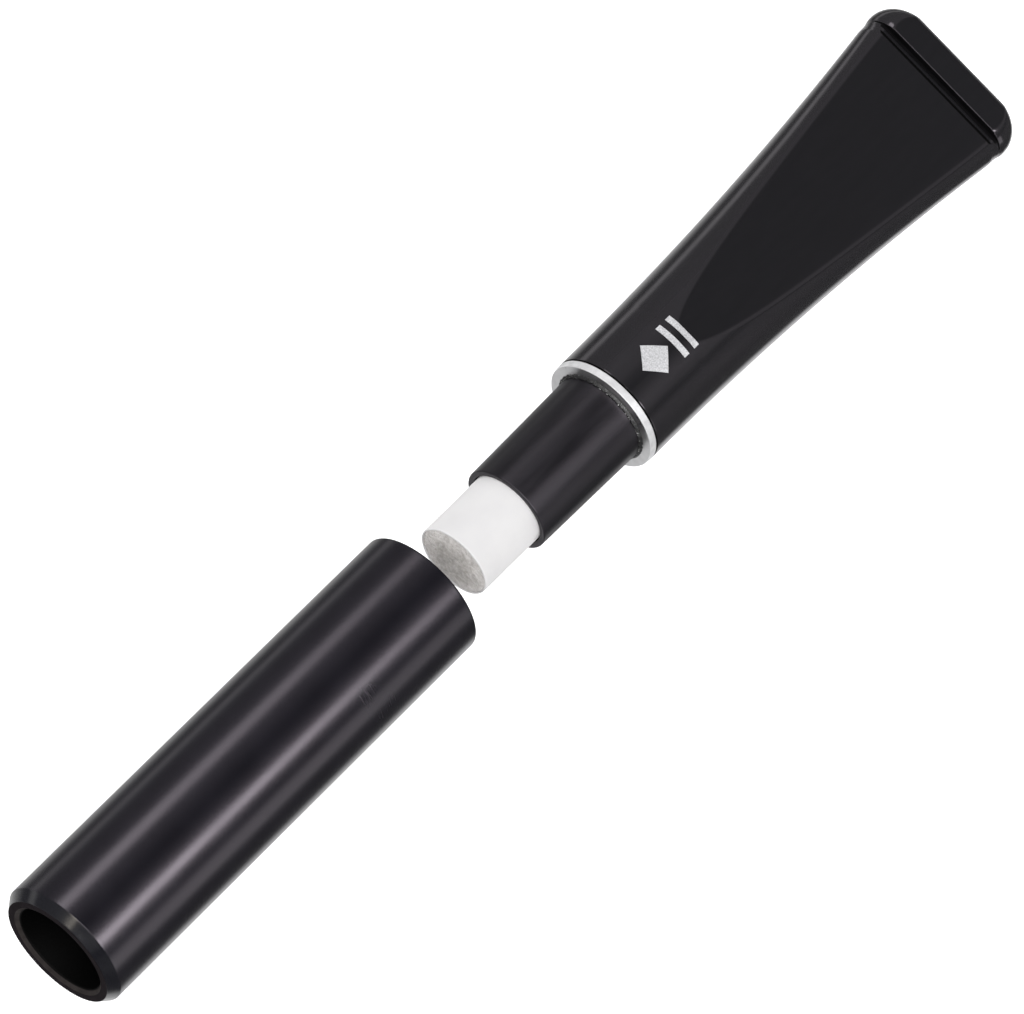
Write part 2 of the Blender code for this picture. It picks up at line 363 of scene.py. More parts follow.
def tube_black():
    """Satin black lacquer: faint lines run round the tube, and a few scuffs break its shine."""
    look = Look("tube_black", glint=PLUM_GLINT)
    turned_lines = look.grain(5200, (1.0, 0.03, 0.03))
    patches = look.grain(160, detail=3.0)
    scratches = look.grain(7000, (1.0, 0.06, 0.06), detail=1.0)
    hairlines = look.between(scratches, 0.0, 1.0, 0.60, 0.72)
    look.feed(look.tint(patches, (0.0036, 0.0036, 0.0062), (0.0052, 0.0052, 0.0086)), "Base Color")
    look.relief(turned_lines, 1.6 * MICRON)
    look.relief(look.grain(3500), 2 * MICRON)
    roughness = look.between(patches, 0.245, 0.27)
    for station, turn, reach in TUBE_SCUFFS:
        y = TUBE_RADIUS * math.sin(math.radians(turn))
        z = AXIS_HEIGHT + TUBE_RADIUS * math.cos(math.radians(turn))
        scuff = look.times(hairlines, look.near((TUBE_LOW.x + station, y, z), reach))
        look.relief(scuff, 20 * MICRON)
        roughness = look.plus(roughness, look.between(scuff, 0.0, 0.25, 0.0, 0.5))
    look.feed(roughness, "Roughness")
    return look.material


def painted_shade_black():
    """Painted shade for bores and recesses: dull plastic painted darker than the outside, where shade
    falls.
    """
    look = Look("painted_shade_black", (0.0008, 0.0008, 0.0008), 0.6)
    look.set("Specular IOR Level", 0.06)
    look.relief(look.grain(2500, (1.0, 0.1, 0.1)), 4 * MICRON)
    return look.material


def chamfer_black():
    """The polished chamfer at the tube's mouth."""
    look = Look("chamfer_black", (0.0050, 0.0050, 0.0080))
    look.feed(look.between(look.grain(700, detail=3.0), 0.15, 0.22), "Roughness")
    return look.material


# Cut plastic varies between its plain colour and one this many times as bright
WORN_BRIGHTER = 1.5


def dull_black(name, colour, shine):
    """Plastic as it was cut, duller than the lacquered and polished faces round it. The colour is
    given by the caller: on the countersink it is a painted reflection, in the groove's slot painted
    shade.
    """
    look = Look(name, roughness=0.35)
    look.set("Specular IOR Level", shine)
    worn = tuple(channel * WORN_BRIGHTER for channel in colour)
    look.feed(look.tint(look.grain(900, detail=3.0), colour, worn), "Base Color")
    look.relief(look.grain(3000, detail=3.0), 4 * MICRON)
    return look.material


def gloss_black():
    """Moulded gloss plastic with a very slight ripple and fine handling marks."""
    look = Look("mouthpiece_black", (0.0150, 0.0147, 0.0165), glint=PLUM_GLINT)
    ripple = look.grain(220, detail=1.0)
    marks = look.grain(1500, (0.15, 1.0, 1.0), detail=3.0)
    look.feed(look.between(marks, 0.12, 0.18), "Roughness")
    look.relief(ripple, 12 * MICRON)
    look.relief(marks, 0.4 * MICRON)
    return look.material


def edge_black():
    """The lip's front edge, left as moulded and duller than the polished faces."""
    look = Look("edge_black", (0.0150, 0.0147, 0.0165), glint=PLUM_GLINT)
    look.set("Specular IOR Level", 0.3)
    look.feed(look.between(look.grain(1500, detail=3.0), 0.25, 0.40), "Roughness")
    return look.material


def sleeve_black():
    """Satin moulded plastic, rubbed dull in soft streaks where the tube slides over it."""
    look = Look("sleeve_black", glint=PLUM_GLINT)
    look.set("Specular IOR Level", 0.4)
    rubbed = look.grain(500, (0.12, 1.0, 1.0), detail=4.0)
    look.feed(look.between(rubbed, 0.34, 0.52), "Roughness")
    look.feed(look.tint(rubbed, (0.0016, 0.0018, 0.0030), (0.0056, 0.0058, 0.0078)), "Base Color")
    look.relief(look.grain(900, (0.4, 1.0, 1.0), detail=3.0), 14 * MICRON)
    look.relief(look.grain(4000, detail=3.0), 3 * MICRON)
    return look.material


def silver_metal():
    """Bright metal with fine lines round the ring."""
    look = Look("ring_silver", metallic=1.0)
    lines = look.grain(9000, (1.0, 0.02, 0.02), detail=3.0)
    cloud = look.grain(700, detail=3.0)
    look.feed(look.between(cloud, 0.26, 0.42), "Roughness")
    look.feed(look.tint(cloud, (0.56, 0.56, 0.57), (0.68, 0.68, 0.69)), "Base Color")
    look.relief(lines, 3 * MICRON)
    return look.material


def satin_silver():
    """The ring's outside, blasted to an even satin and brushed round."""
    look = Look("ring_satin", roughness=0.5, metallic=0.2)
    lines = look.grain(9000, (1.0, 0.02, 0.02), detail=3.0)
    cloud = look.grain(1500, detail=4.0)
    look.feed(look.tint(cloud, (0.58, 0.58, 0.59), (0.70, 0.70, 0.71)), "Base Color")
    look.relief(lines, 4 * MICRON)
    return look.material


def silver_print():
    """Silver ink with the speckle of a metallic print."""
    look = Look("silver_print", roughness=0.5, metallic=0.2)
    speckle = look.grain(5200, detail=3.0)
    look.feed(look.tint(speckle, (0.46, 0.46, 0.475), (0.76, 0.76, 0.78)), "Base Color")
    look.relief(speckle, 6 * MICRON)
    return look.material


def white_paper():
    """Smooth wrapping paper with faint fibre and cloudiness."""
    look = Look("filter_paper", roughness=0.7)
    fibre = look.grain(2600, (0.35, 1.0, 1.0), detail=4.0)
    cloud = look.grain(260, detail=3.0)
    look.feed(look.tint(cloud, (0.765, 0.755, 0.762), (0.81, 0.80, 0.802)), "Base Color")
    look.relief(fibre, 6 * MICRON)
    return look.material


def cut_fibre():
    """The cut end of a bundle of fibres, warm grey, mottled, and paler towards the paper."""
    look = Look("filter_fibre", roughness=0.9)
    tufts = look.grain(2300, detail=4.0)
    edge = PLUG_RADIUS * MM
    paler = look.between(look.from_axis(), 0.0, 0.24, 0.4 * edge, edge)
    shade = look.plus(tufts, paler)
    look.feed(look.tint(shade, (0.47, 0.445, 0.42), (0.76, 0.735, 0.72), 0.33, 0.78), "Base Color")
    look.relief(look.grain(5200, detail=4.0), 60 * MICRON)
    return look.material


def charcoal():
    """Loose black granules."""
    look = Look("charcoal", roughness=0.85)
    grains = look.grain(1400, detail=4.0)
    look.feed(look.tint(grains, (0.008, 0.008, 0.008), (0.045, 0.044, 0.042)), "Base Color")
    look.relief(grains, 300 * MICRON)
    return look.material


def dried_glue():
    """Glue that has gone dark and crumbly."""
    look = Look("dried_glue", (0.004, 0.004, 0.0045))
    crumbs = look.grain(5000, detail=4.0)
    look.feed(look.between(crumbs, 0.28, 0.6), "Roughness")
    look.relief(crumbs, 80 * MICRON)
    return look.material


def glue_crumb_highlight():
    """Small crumbs of glue, painted pale as highlight on the dark glue."""
    look = Look("glue_crumb_highlight", roughness=0.25)
    look.feed(look.tint(look.grain(3000), (0.55, 0.55, 0.54), (0.90, 0.90, 0.89)), "Base Color")
    return look.material


# Front tube


# The tube's material slots, in the order in which make_front_tube fills them
OUTSIDE, BORE, CHAMFER, CUT_END, COUNTERSINK = range(5)

# Where one of the tube's materials ends and the next begins, clear of the small roundings
BORE_ZONE_RADIUS = TUBE_SOCKET_RADIUS + 0.06
BORE_ZONE_START = TUBE_MOUTH_BEVEL * 0.7
CHAMFER_ZONE_END = TUBE_CHAMFER_LENGTH - 0.04
COUNTERSINK_ZONE_RADIUS = TUBE_BORE_RADIUS + TUBE_MOUTH_BEVEL * 0.97


def make_front_tube(painted_shade):
    """The loose tube: a countersunk bore, a chamfered mouth and a wider socket at the back."""
    socket = TUBE_LENGTH - TUBE_SOCKET_DEPTH
    bore = TUBE_BORE_RADIUS
    outline = [
        (0.0, bore + TUBE_MOUTH_BEVEL, 0.08),
        (0.0, TUBE_RADIUS - TUBE_CHAMFER_DEPTH, 0.1),
        (TUBE_CHAMFER_LENGTH, TUBE_RADIUS, 0.06),
        (TUBE_LENGTH, TUBE_RADIUS, 0.2),
        (TUBE_LENGTH, TUBE_SOCKET_RADIUS, 0.2),
        (socket, TUBE_SOCKET_RADIUS, 0.04),
        (socket, bore, 0.04),
        (TUBE_MOUTH_BEVEL, bore, 0.12),
    ]
    points, faces = turned(supported(rounded(outline)), TUBE_LOW.x)
    tube = make_piece(
        "front_tube_looks", points, faces, tube_black(), "tube", "tube_black", "front_tube"
    )
    # The bore takes the near-black painted shade.
    tube.data.materials.append(painted_shade)
    tube.data.materials.append(chamfer_black())
    tube.data.materials.append(dull_black("cut_end_black", (0.0066, 0.0050, 0.0060), 0.005))
    # The countersink's colour, lighter than the black plastic, is a painted reflection.
    tube.data.materials.append(dull_black("countersink_painted_reflection", (0.0225, 0.0195, 0.0190), 0.005))
    for face in tube.data.polygons:
        face.material_index = tube_zone(face_radius(face), face.center.x / MM - TUBE_LOW.x)


def tube_zone(radius, depth):
    """The material slot for a place on the tube at this depth from its mouth."""
    if radius < BORE_ZONE_RADIUS and depth > BORE_ZONE_START:
        return BORE
    if depth < CHAMFER_ZONE_END and radius > TUBE_RADIUS - TUBE_CHAMFER_DEPTH:
        return CHAMFER
    if depth > TUBE_MOUTH_BEVEL:
        return OUTSIDE
    if radius < COUNTERSINK_ZONE_RADIUS:
        return COUNTERSINK
    return CUT_END


# Filter


# The paper's rim is moved by up to the wave, less and less along the reach
RIM_WAVE = 0.05
RIM_WAVE_REACH = 1.5
RIM_WAVES_PER_MM = 0.9

# The cut end is a dome with broad swells and small tufts on it
FIBRE_DOME = 0.12
FIBRE_SWELL = 0.10
FIBRE_SWELLS_PER_MM = 0.9
FIBRE_TUFT = 0.05
FIBRE_TUFTS_PER_MM = 3.1
PLUG_ROWS = 26
PLUG_SHOULDER = 0.3

# Strands start and stay within the two shares of the plug's radius
STRAND_START_SHARE = 0.94
STRAND_LIMIT_SHARE = 0.97
STRAND_LOWEST_FACE = -0.05
STRAND_COUNT = 900
STRAND_SEED = 4
STRAND_LENGTHS = (0.35, 1.1)
STRAND_RADII = (0.018, 0.034)
STRAND_BEND = 1.6
STRAND_STEPS = 6
STRAND_SIDES = 5


def make_filter_paper():
    """The paper wrap, with a slightly wavy rim at its front."""
    inner = PAPER_RADIUS - PAPER_THICKNESS
    outline = [
        (0.0, inner, 0.03),
        (0.0, PAPER_RADIUS, 0.14),
        (PAPER_LENGTH, PAPER_RADIUS, 0.09),
        (PAPER_LENGTH, inner, 0.04),
    ]
    points, faces = turned(supported(rounded(outline)), PAPER_LOW.x)
    wavy = []
    for x, y, z in points:
        wave = noise.noise(Vector((y, z - AXIS_HEIGHT, 3.0)) * RIM_WAVES_PER_MM)
        near_front = max(0.0, 1.0 - (x - PAPER_LOW.x) / RIM_WAVE_REACH)
        wavy.append((x + RIM_WAVE * near_front * wave, y, z))
    make_piece(
        "filter_paper_looks", wavy, faces, white_paper(), "filter", "filter_paper", "filter_paper"
    )


def fibre_face_height(y, z):
    """How far the cut end stands out at this place: slightly domed, and uneven."""
    from_axis = math.hypot(y, z) / PLUG_RADIUS
    dome = FIBRE_DOME * (1 - from_axis**2)
    swells = FIBRE_SWELL * noise.noise(Vector((y, z, 0.0)) * FIBRE_SWELLS_PER_MM)
    tufts = FIBRE_TUFT * noise.noise(Vector((y, z, 5.0)) * FIBRE_TUFTS_PER_MM)
    return dome + swells + tufts


def fibre_strand(chance):
    """A short thin tube on the cut end, as points and faces.

    It bends as it runs, its middle stands up off the face, and its tapered ends sink in.
    """
    radius = PLUG_RADIUS * STRAND_START_SHARE * math.sqrt(chance.random())
    place = chance.uniform(0, 2 * math.pi)
    heading = chance.uniform(0, 2 * math.pi)
    bend = chance.uniform(-STRAND_BEND, STRAND_BEND)
    length = chance.uniform(*STRAND_LENGTHS)
    thickness = chance.uniform(*STRAND_RADII)
    y, z = radius * math.cos(place), radius * math.sin(place)
    rings = []
    for i in range(STRAND_STEPS + 1):
        share = i / STRAND_STEPS
        lift = thickness * (1.2 - 2.6 * abs(share - 0.5))
        x = PLUG_LOW.x - max(fibre_face_height(y, z), STRAND_LOWEST_FACE) - lift
        taper = thickness * (0.35 + 0.65 * math.sin(math.pi * min(max(share, 0.08), 0.92)))
        ring = []
        for k in range(STRAND_SIDES):
            turn = 2 * math.pi * k / STRAND_SIDES
            side = taper * math.cos(turn)
            side_y = y - side * math.sin(heading)
            side_z = z + side * math.cos(heading)
            ring.append((x - taper * math.sin(turn), side_y, AXIS_HEIGHT + side_z))
        rings.append(ring)
        heading += bend / STRAND_STEPS
        y += length / STRAND_STEPS * math.cos(heading)
        z += length / STRAND_STEPS * math.sin(heading)
        reach = math.hypot(y, z) / (PLUG_RADIUS * STRAND_LIMIT_SHARE)
        if reach > 1:
            y, z = y / reach, z / reach
    points, faces = ring_mesh(rings, False)
    faces.append(tuple(reversed(range(STRAND_SIDES))))
    faces.append(tuple(range(STRAND_STEPS * STRAND_SIDES, len(points))))
    return points, faces


def make_fibre_plug():
    """The plug behind the paper's rim, with an uneven cut end of short fibres."""
    rings = []
    for j in range(1, PLUG_ROWS + 1):
        r = PLUG_RADIUS * j / PLUG_ROWS
        ring = []
        for i in range(SEGMENTS):
            turn = 2 * math.pi * i / SEGMENTS
            y, z = r * math.sin(turn), r * math.cos(turn)
            ring.append((PLUG_LOW.x - fibre_face_height(y, z), y, AXIS_HEIGHT + z))
        rings.append(ring)
    rim = rings[-1]
    for x in (PLUG_LOW.x + PLUG_SHOULDER, PLUG_HIGH.x):
        rings.append([(x, y, z) for _, y, z in rim])
    points, faces = ring_mesh(rings, False)
    middle = len(points)
    faces += [(middle, (i + 1) % SEGMENTS, i) for i in range(SEGMENTS)]
    faces.append(tuple(range(middle - SEGMENTS, middle)))
    points.append((PLUG_LOW.x - fibre_face_height(0.0, 0.0), 0.0, AXIS_HEIGHT))
    chance = random.Random(STRAND_SEED)
    for _ in range(STRAND_COUNT):
        add_shape(points, faces, fibre_strand(chance))
    make_piece(
        "fibre_plug_looks", points, faces, cut_fibre(), "filter", "filter_fibre", "front_filter_plug"
    )


# Sleeve, ring and the glue between them


# The ring's outside narrows a little to the front, and its satin band starts near the edge
RING_FRONT_SLOPE = 0.08
RING_SUPPORT_GAP = 0.05
RING_BAND_START = RING_RADIUS - 0.12
RING_BAND_SLOT = 1

# Glue between the ring and GLUE_CLEAR may stand high, because the pushed-on tube stops short
GLUE_SIDES = 12
GLUE_SEGMENTS = SEGMENTS * 2
GLUE_REACH = 0.36
GLUE_LONGEST_REACH = GLUE_REACH * 1.2
GLUE_HEIGHT = 0.3
GLUE_INTO_RING = 0.02
GLUE_CLEAR = 0.15
GLUE_HEIGHT_AT_RING = 0.34
GLUE_SPARE = 0.03

# Crumbs lie at these shares of the height that glue may have there
CRUMB_LEVELS = (0.6, 1.0)
CRUMB_COUNT = 240
CRUMB_SEED = 11
CRUMB_RADII = (0.02, 0.065)
CRUMB_NEAREST = 0.05
CRUMB_STRETCH = 1.25
CRUMB_SHRINK = 0.7
CRUMB_CORNERS = ((1, 0, 0), (0, 1, 0), (-1, 0, 0), (0, -1, 0), (0, 0, 1), (0, 0, -1))


def make_sleeve():
    """The sleeve that the tube is pushed over, a little thicker at its root."""
    outline = [
        (0.0, SLEEVE_BORE_RADIUS, 0.1),
        (0.0, SLEEVE_TIP_RADIUS, 0.16),
        (SLEEVE_SHOWING, SLEEVE_ROOT_RADIUS, 0.05),
        (SLEEVE_LENGTH, SLEEVE_ROOT_RADIUS, 0.05),
        (SLEEVE_LENGTH, SLEEVE_BORE_RADIUS, 0.05),
    ]
    points, faces = turned(supported(rounded(outline)), SLEEVE_LOW.x)
    make_piece(
        "filter_sleeve_looks", points, faces, sleeve_black(), "handle", "sleeve_black", "filter_sleeve"
    )


def make_ring():
    """The ferrule ring, with a bright front face and a satin band outside."""
    outline = [
        (0.0, RING_HOLE_RADIUS, 0.04),
        (0.0, RING_RADIUS - RING_FRONT_SLOPE, 0.08),
        (RING_THICKNESS, RING_RADIUS, 0.08),
        (RING_THICKNESS, RING_HOLE_RADIUS, 0.04),
    ]
    points, faces = turned(supported(rounded(outline), RING_SUPPORT_GAP), RING_LOW.x)
    ring = make_piece(
        "ferrule_ring_looks", points, faces, silver_metal(), "handle", "ring_silver", "ferrule_ring"
    )
    ring.data.materials.append(satin_silver())
    for face in ring.data.polygons:
        if face_radius(face) > RING_BAND_START:
            face.material_index = RING_BAND_SLOT


def glue_limit(along):
    """How far glue at this distance from the ring can stand up and miss the pushed-on tube."""
    if along < GLUE_CLEAR:
        return GLUE_HEIGHT_AT_RING
    return TUBE_SOCKET_RADIUS - SLEEVE_ROOT_RADIUS - GLUE_SPARE


def make_glue():
    """A bead in the corner between the sleeve and the ring, with lumps of three sizes."""
    rings = []
    for i in range(GLUE_SEGMENTS):
        turn = 2 * math.pi * i / GLUE_SEGMENTS
        around = Vector((math.cos(turn), math.sin(turn), 0.0))
        swell = 1 + 0.45 * noise.noise(around * 11) + 0.35 * noise.noise(around * 37)
        ring = []
        for k in range(GLUE_SIDES):
            angle = 2 * math.pi * k / GLUE_SIDES
            rough = swell * (1 + 0.35 * noise.noise(around * 55 + Vector((0, 0, 2.0 * k))))
            along = GLUE_REACH * rough * math.cos(angle)
            out = GLUE_HEIGHT * rough * math.sin(angle)
            radius = SLEEVE_ROOT_RADIUS + min(out, glue_limit(along))
            x = RING_LOW.x - max(min(along, GLUE_LONGEST_REACH), -GLUE_INTO_RING)
            ring.append((x, radius * around.x, AXIS_HEIGHT + radius * around.y))
        rings.append(ring)
    points, faces = ring_mesh(rings, True)
    make_piece("glue_bead", points, faces, dried_glue(), "handle", "sleeve_black")


def crumb(centre, radius, chance):
    """A small faceted lump: an eight-sided solid with its corners moved in or out."""
    points = [
        tuple(centre + Vector(corner) * radius * chance.uniform(CRUMB_SHRINK, CRUMB_STRETCH))
        for corner in CRUMB_CORNERS
    ]
    faces = [(i, (i + 1) % 4, 4) for i in range(4)] + [((i + 1) % 4, i, 5) for i in range(4)]
    return points, faces


def make_highlight_crumbs():
    """Crumbs scattered over the bead, kept clear of the pushed-on tube, their pale colour a painted
    highlight.
    """
    chance = random.Random(CRUMB_SEED)
    points, faces = [], []
    for _ in range(CRUMB_COUNT):
        turn = chance.uniform(0, 2 * math.pi)
        radius = chance.uniform(*CRUMB_RADII)
        along = chance.uniform(CRUMB_NEAREST, GLUE_REACH)
        reach = radius * CRUMB_STRETCH
        highest = glue_limit(along + reach) - reach
        out = SLEEVE_ROOT_RADIUS + chance.uniform(*CRUMB_LEVELS) * highest
        place = (RING_LOW.x - along, out * math.cos(turn), AXIS_HEIGHT + out * math.sin(turn))
        add_shape(points, faces, crumb(Vector(place), radius, chance))
    make_piece("glue_highlight_crumbs", points, faces, glue_crumb_highlight(), "handle", "filter_fibre")


# Mouthpiece


# The mouthpiece's material slots, in the order in which make_mouthpiece fills them
POLISHED, PAINTED_SHADE, LIP_EDGE, GROOVE_SLOT = range(4)

# Where one of its materials ends and the next begins
SLOT_ZONE_HEIGHT = FACE_HALF_THICKNESS - LEDGE_DROP - 0.4
NOTCH_ZONE_START = 1.3
NOTCH_ZONE_HEIGHT = 1.8
RING_ZONE_END = FRONT_EDGE_BREAK * 0.8


def ease(start, end, share):
    """The value this share of the way from start to end."""
    return start + (end - start) * share


def flare_half_width(depth):
    """Round at the ring, then an even curve out to the lip's full width."""
    widest = FACE_END_DEPTH + GROOVE_LENGTH + WIDEST_PAST_GROOVE
    return BODY_RADIUS + (LIP_WIDTH / 2 - BODY_RADIUS) * min(depth / widest, 1.0) ** 2


def face_share(depth):
    """0 where the flats begin and 1 where they end at the groove."""
    share = (depth - FLAT_START_DEPTH) / (FACE_END_DEPTH - FLAT_START_DEPTH)
    return min(max(share, 0.0), 1.0)


def face_half_thickness(depth):
    """The flats leave the round body at a shallow angle and hollow slightly to the lip."""
    share = face_share(depth)
    curved = (1 + FACE_HOLLOW) * share - FACE_HOLLOW * share * share
    return ease(BODY_RADIUS, FACE_HALF_THICKNESS, curved)


def side_radius(depth):
    """The round sides start with the body's own radius and tighten to a near half-round."""
    return ease(BODY_RADIUS, LIP_SIDE_RADIUS, face_share(depth) ** 2)


def crease_radius(depth):
    """Rounding between the flat and the round side."""
    return ease(CREASE_RADIUS_START, CREASE_RADIUS_END, face_share(depth))


# A section's top stays this share of its side's radius or lower, so the crease always fits
ROUNDEST_TOP = 0.9995


def quarter_section(half_width, half_height, radius, crease):
    """(y, z) from the side up to the middle of the top: a round side, a crease and a flat."""
    side_y = half_width - radius
    top = min(half_height, radius * ROUNDEST_TOP)
    crease_y = side_y + math.sqrt((radius - crease) ** 2 - (top - crease) ** 2)
    meet = math.atan2(top - crease, crease_y - side_y)
    quarter = []
    for i in range(SIDE_STEPS + 1):
        angle = meet * i / SIDE_STEPS
        quarter.append((side_y + radius * math.cos(angle), radius * math.sin(angle)))
    for i in range(1, CREASE_STEPS + 1):
        angle = ease(meet, math.pi / 2, i / CREASE_STEPS)
        quarter.append((crease_y + crease * math.cos(angle), top - crease + crease * math.sin(angle)))
    return quarter


def section(depth, half_width, half_height, radius, crease):
    """A closed ring of points across the mouthpiece at this depth."""
    quarter = quarter_section(half_width, half_height, radius, crease)
    last_y, top = quarter[-1]
    flat = [(last_y * (1 - i / FLAT_STEPS), top) for i in range(1, FLAT_STEPS)]
    half = quarter + flat + [(0.0, top)]
    upper = half + [(-y, z) for y, z in reversed(half[:-1])]
    lower = [(y, -z) for y, z in reversed(upper[1:-1])]
    x = BODY_LOW.x + depth
    return [(x, y, AXIS_HEIGHT + z) for y, z in upper + lower]


def body_section(depth):
    """The section of the flared body at this depth."""
    shape = (flare_half_width(depth), face_half_thickness(depth), side_radius(depth))
    return section(depth, *shape, crease_radius(depth))


def body_rings():
    """The outside from the ring to the end of the flats, with a small radius at the front."""
    rings = []
    for i in range(ARC_STEPS):
        turn = math.pi / 2 * i / ARC_STEPS
        drop = FRONT_EDGE_BREAK * (1 - math.sin(turn))
        radius = BODY_RADIUS - drop
        depth = FRONT_EDGE_BREAK * (1 - math.cos(turn))
        rings.append(section(depth, radius, radius, radius, CREASE_RADIUS_START))
    rings.append(body_section(FRONT_EDGE_BREAK))
    steps = round(FACE_END_DEPTH / STATION_SPACING)
    for i in range(steps + 1):
        depth = ease(FRONT_EDGE_BREAK + END_GAP, FACE_END_DEPTH - END_GAP, i / steps)
        rings.append(body_section(depth))
    return rings


def groove_rings():
    """The face ends in a step and a narrow ledge, then a slot meets the lip's front wall.

    Round the sides the groove runs out to a shallow notch that the lip rises from softly.
    """
    lip = LIP_THICKNESS / 2
    edge = LIP_FRONT_EDGE_RADIUS
    # Distance past the face's end, drop below the face, and depth of the notch in the sides
    groove = [
        (0.0, 0.0, 0.0),
        (STEP_START - 0.04, 0.01, 0.01),
        (STEP_START, 0.02, 0.02),
        (STEP_END, STEP_DROP, 0.05),
        (LEDGE_START, STEP_DROP + 0.01, 0.06),
        (LEDGE_END, LEDGE_DROP, NOTCH_DEPTH),
        (SLOT_START, LEDGE_DROP + 0.04, NOTCH_DEPTH),
        (SLOT_FLOOR_START, SLOT_DROP, NOTCH_DEPTH),
        (GROOVE_LENGTH - 0.18, SLOT_DROP, NOTCH_DEPTH),
        (GROOVE_LENGTH - 0.02, SLOT_DROP, NOTCH_DEPTH),
    ]
    outline = [(past, FACE_HALF_THICKNESS - drop, notch) for past, drop, notch in groove]
    outline.append((GROOVE_LENGTH, lip - edge, NOTCH_DEPTH))
    for i in range(1, EDGE_STEPS + 1):
        turn = math.pi / 2 * i / EDGE_STEPS
        past_wall = edge - edge * math.cos(turn)
        top = lip - edge + edge * math.sin(turn)
        outline.append((GROOVE_LENGTH + past_wall, top, notch_left(past_wall)))
    for i in range(1, EDGE_STEPS + 1):
        past_wall = ease(edge, NOTCH_RUN_OUT, i / EDGE_STEPS)
        outline.append((GROOVE_LENGTH + past_wall, lip, notch_left(past_wall)))
    rings = []
    for past, top, notch in outline:
        depth = FACE_END_DEPTH + past
        shape = (flare_half_width(depth) - notch, top, LIP_SIDE_RADIUS - notch)
        rings.append(section(depth, *shape, CREASE_RADIUS_END))
    return rings


def notch_left(past_wall):
    """What is left of the notch this far along the lip."""
    return NOTCH_DEPTH * (1 - past_wall / NOTCH_RUN_OUT) ** 2


def lip_rings():
    """The lip, rounded in plan by its corner radius and in section by its edge radius."""
    rings = []
    start = BODY_LENGTH - LIP_CORNER_RADIUS
    for i in range(LIP_STEPS + 1):
        turn = math.pi / 2 * i / LIP_STEPS
        depth = start + LIP_CORNER_RADIUS * math.sin(turn)
        width = LIP_WIDTH / 2 - LIP_CORNER_RADIUS * (1 - math.cos(turn))
        past_edge = max(depth - (BODY_LENGTH - LIP_EDGE_RADIUS), 0.0)
        drop = LIP_EDGE_RADIUS - math.sqrt(max(LIP_EDGE_RADIUS**2 - past_edge**2, 0.0))
        shape = (width, LIP_THICKNESS / 2 - drop, LIP_SIDE_RADIUS - drop)
        rings.append(section(depth, *shape, CREASE_RADIUS_END))
    return rings


def bore_section(depth, half_width, half_height):
    """A ring of points across the airway, round or slot-shaped."""
    return section(depth, half_width, half_height, half_height, half_height * BORE_CREASE_SHARE)


def airway_rings():
    """From the slot in the lip's end back to the sleeve's seat."""
    slot_back = BODY_LENGTH - AIRWAY_SLOT_DEPTH
    slot = [(BODY_LENGTH, 1.0), (slot_back, 1.0), (ease(slot_back, AIRWAY_END_DEPTH, 0.5), 0.5)]
    rings = []
    for depth, widening in slot:
        half_width = ease(AIRWAY_RADIUS, AIRWAY_SLOT_HALF_WIDTH, widening)
        half_height = ease(AIRWAY_RADIUS, AIRWAY_SLOT_HALF_HEIGHT, widening)
        rings.append(bore_section(depth, half_width, half_height))
    seat_radius = SLEEVE_ROOT_RADIUS + SLEEVE_SEAT_CLEARANCE
    turned_bore = [
        (AIRWAY_END_DEPTH, AIRWAY_RADIUS),
        (AIRWAY_START_DEPTH, AIRWAY_RADIUS),
        (CHAMBER_DEPTH, SLEEVE_BORE_RADIUS - FILTER_STOP),
        (CHAMBER_DEPTH, SLEEVE_BORE_RADIUS),
        (SLEEVE_SEAT_DEPTH, SLEEVE_BORE_RADIUS),
        (SLEEVE_SEAT_DEPTH, seat_radius),
        (0.0, seat_radius),
    ]
    return rings + [bore_section(depth, radius, radius) for depth, radius in turned_bore]


def mouthpiece_zone(depth, height):
    """The material slot for a place at this depth and this far above or below the axis."""
    past_face = depth - FACE_END_DEPTH
    if SLOT_START < past_face < GROOVE_LENGTH and height > SLOT_ZONE_HEIGHT:
        return GROOVE_SLOT
    if GROOVE_LENGTH < past_face < GROOVE_LENGTH + LIP_FRONT_EDGE_RADIUS:
        return LIP_EDGE
    # The groove's step, the notch and the mouthpiece's edge at the ring take painted shade.
    on_step = STEP_START < past_face < STEP_END and height > FACE_HALF_THICKNESS - STEP_DROP
    in_notch = NOTCH_ZONE_START < past_face < GROOVE_LENGTH and height > NOTCH_ZONE_HEIGHT
    if on_step or in_notch or depth < RING_ZONE_END:
        return PAINTED_SHADE
    return POLISHED


def make_mouthpiece(painted_shade):
    """The flared body with its groove, its lip and the airway through it, as one closed skin."""
    points, faces = ring_mesh(body_rings() + groove_rings() + lip_rings() + airway_rings(), True)
    mouthpiece = make_piece(
        "mouthpiece_looks", points, faces, gloss_black(), "handle", "mouthpiece_black", "mouthpiece"
    )
    # Painted shade for the step, the notch and the edge at the ring
    mouthpiece.data.materials.append(painted_shade)
    mouthpiece.data.materials.append(edge_black())
    # The groove's slot is painted near-black: painted shade for the deep groove.
    mouthpiece.data.materials.append(dull_black("slot_painted_shade", (0.0032, 0.0030, 0.0034), 0.06))
    for face in mouthpiece.data.polygons:
        depth = face.center.x / MM - BODY_LOW.x
        height = abs(face.center.z / MM - AXIS_HEIGHT)
        face.material_index = mouthpiece_zone(depth, height)


# A plain printed mark in place of the maker's


# The ink stands up from the surface and its underside is sunk into it
PRINT_RISE = 0.025
PRINT_SINK = 0.03
PRINT_STEPS = 14
LOZENGE_CORNER = (2.9, 0.45)
LOZENGE_REACH = 2.1
BAR_DEPTHS = (7.7, 9.3)
BAR_START = -1.75
BAR_LENGTH = 4.4
BAR_THICKNESS = 0.75


def surface_height(depth, y):
    """Height of the mouthpiece's upper surface above the axis."""
    quarter = quarter_section(
        flare_half_width(depth), face_half_thickness(depth), side_radius(depth), crease_radius(depth)
    )
    ys, zs = zip(*reversed(quarter))
    return float(np.interp(abs(y), ys, zs))


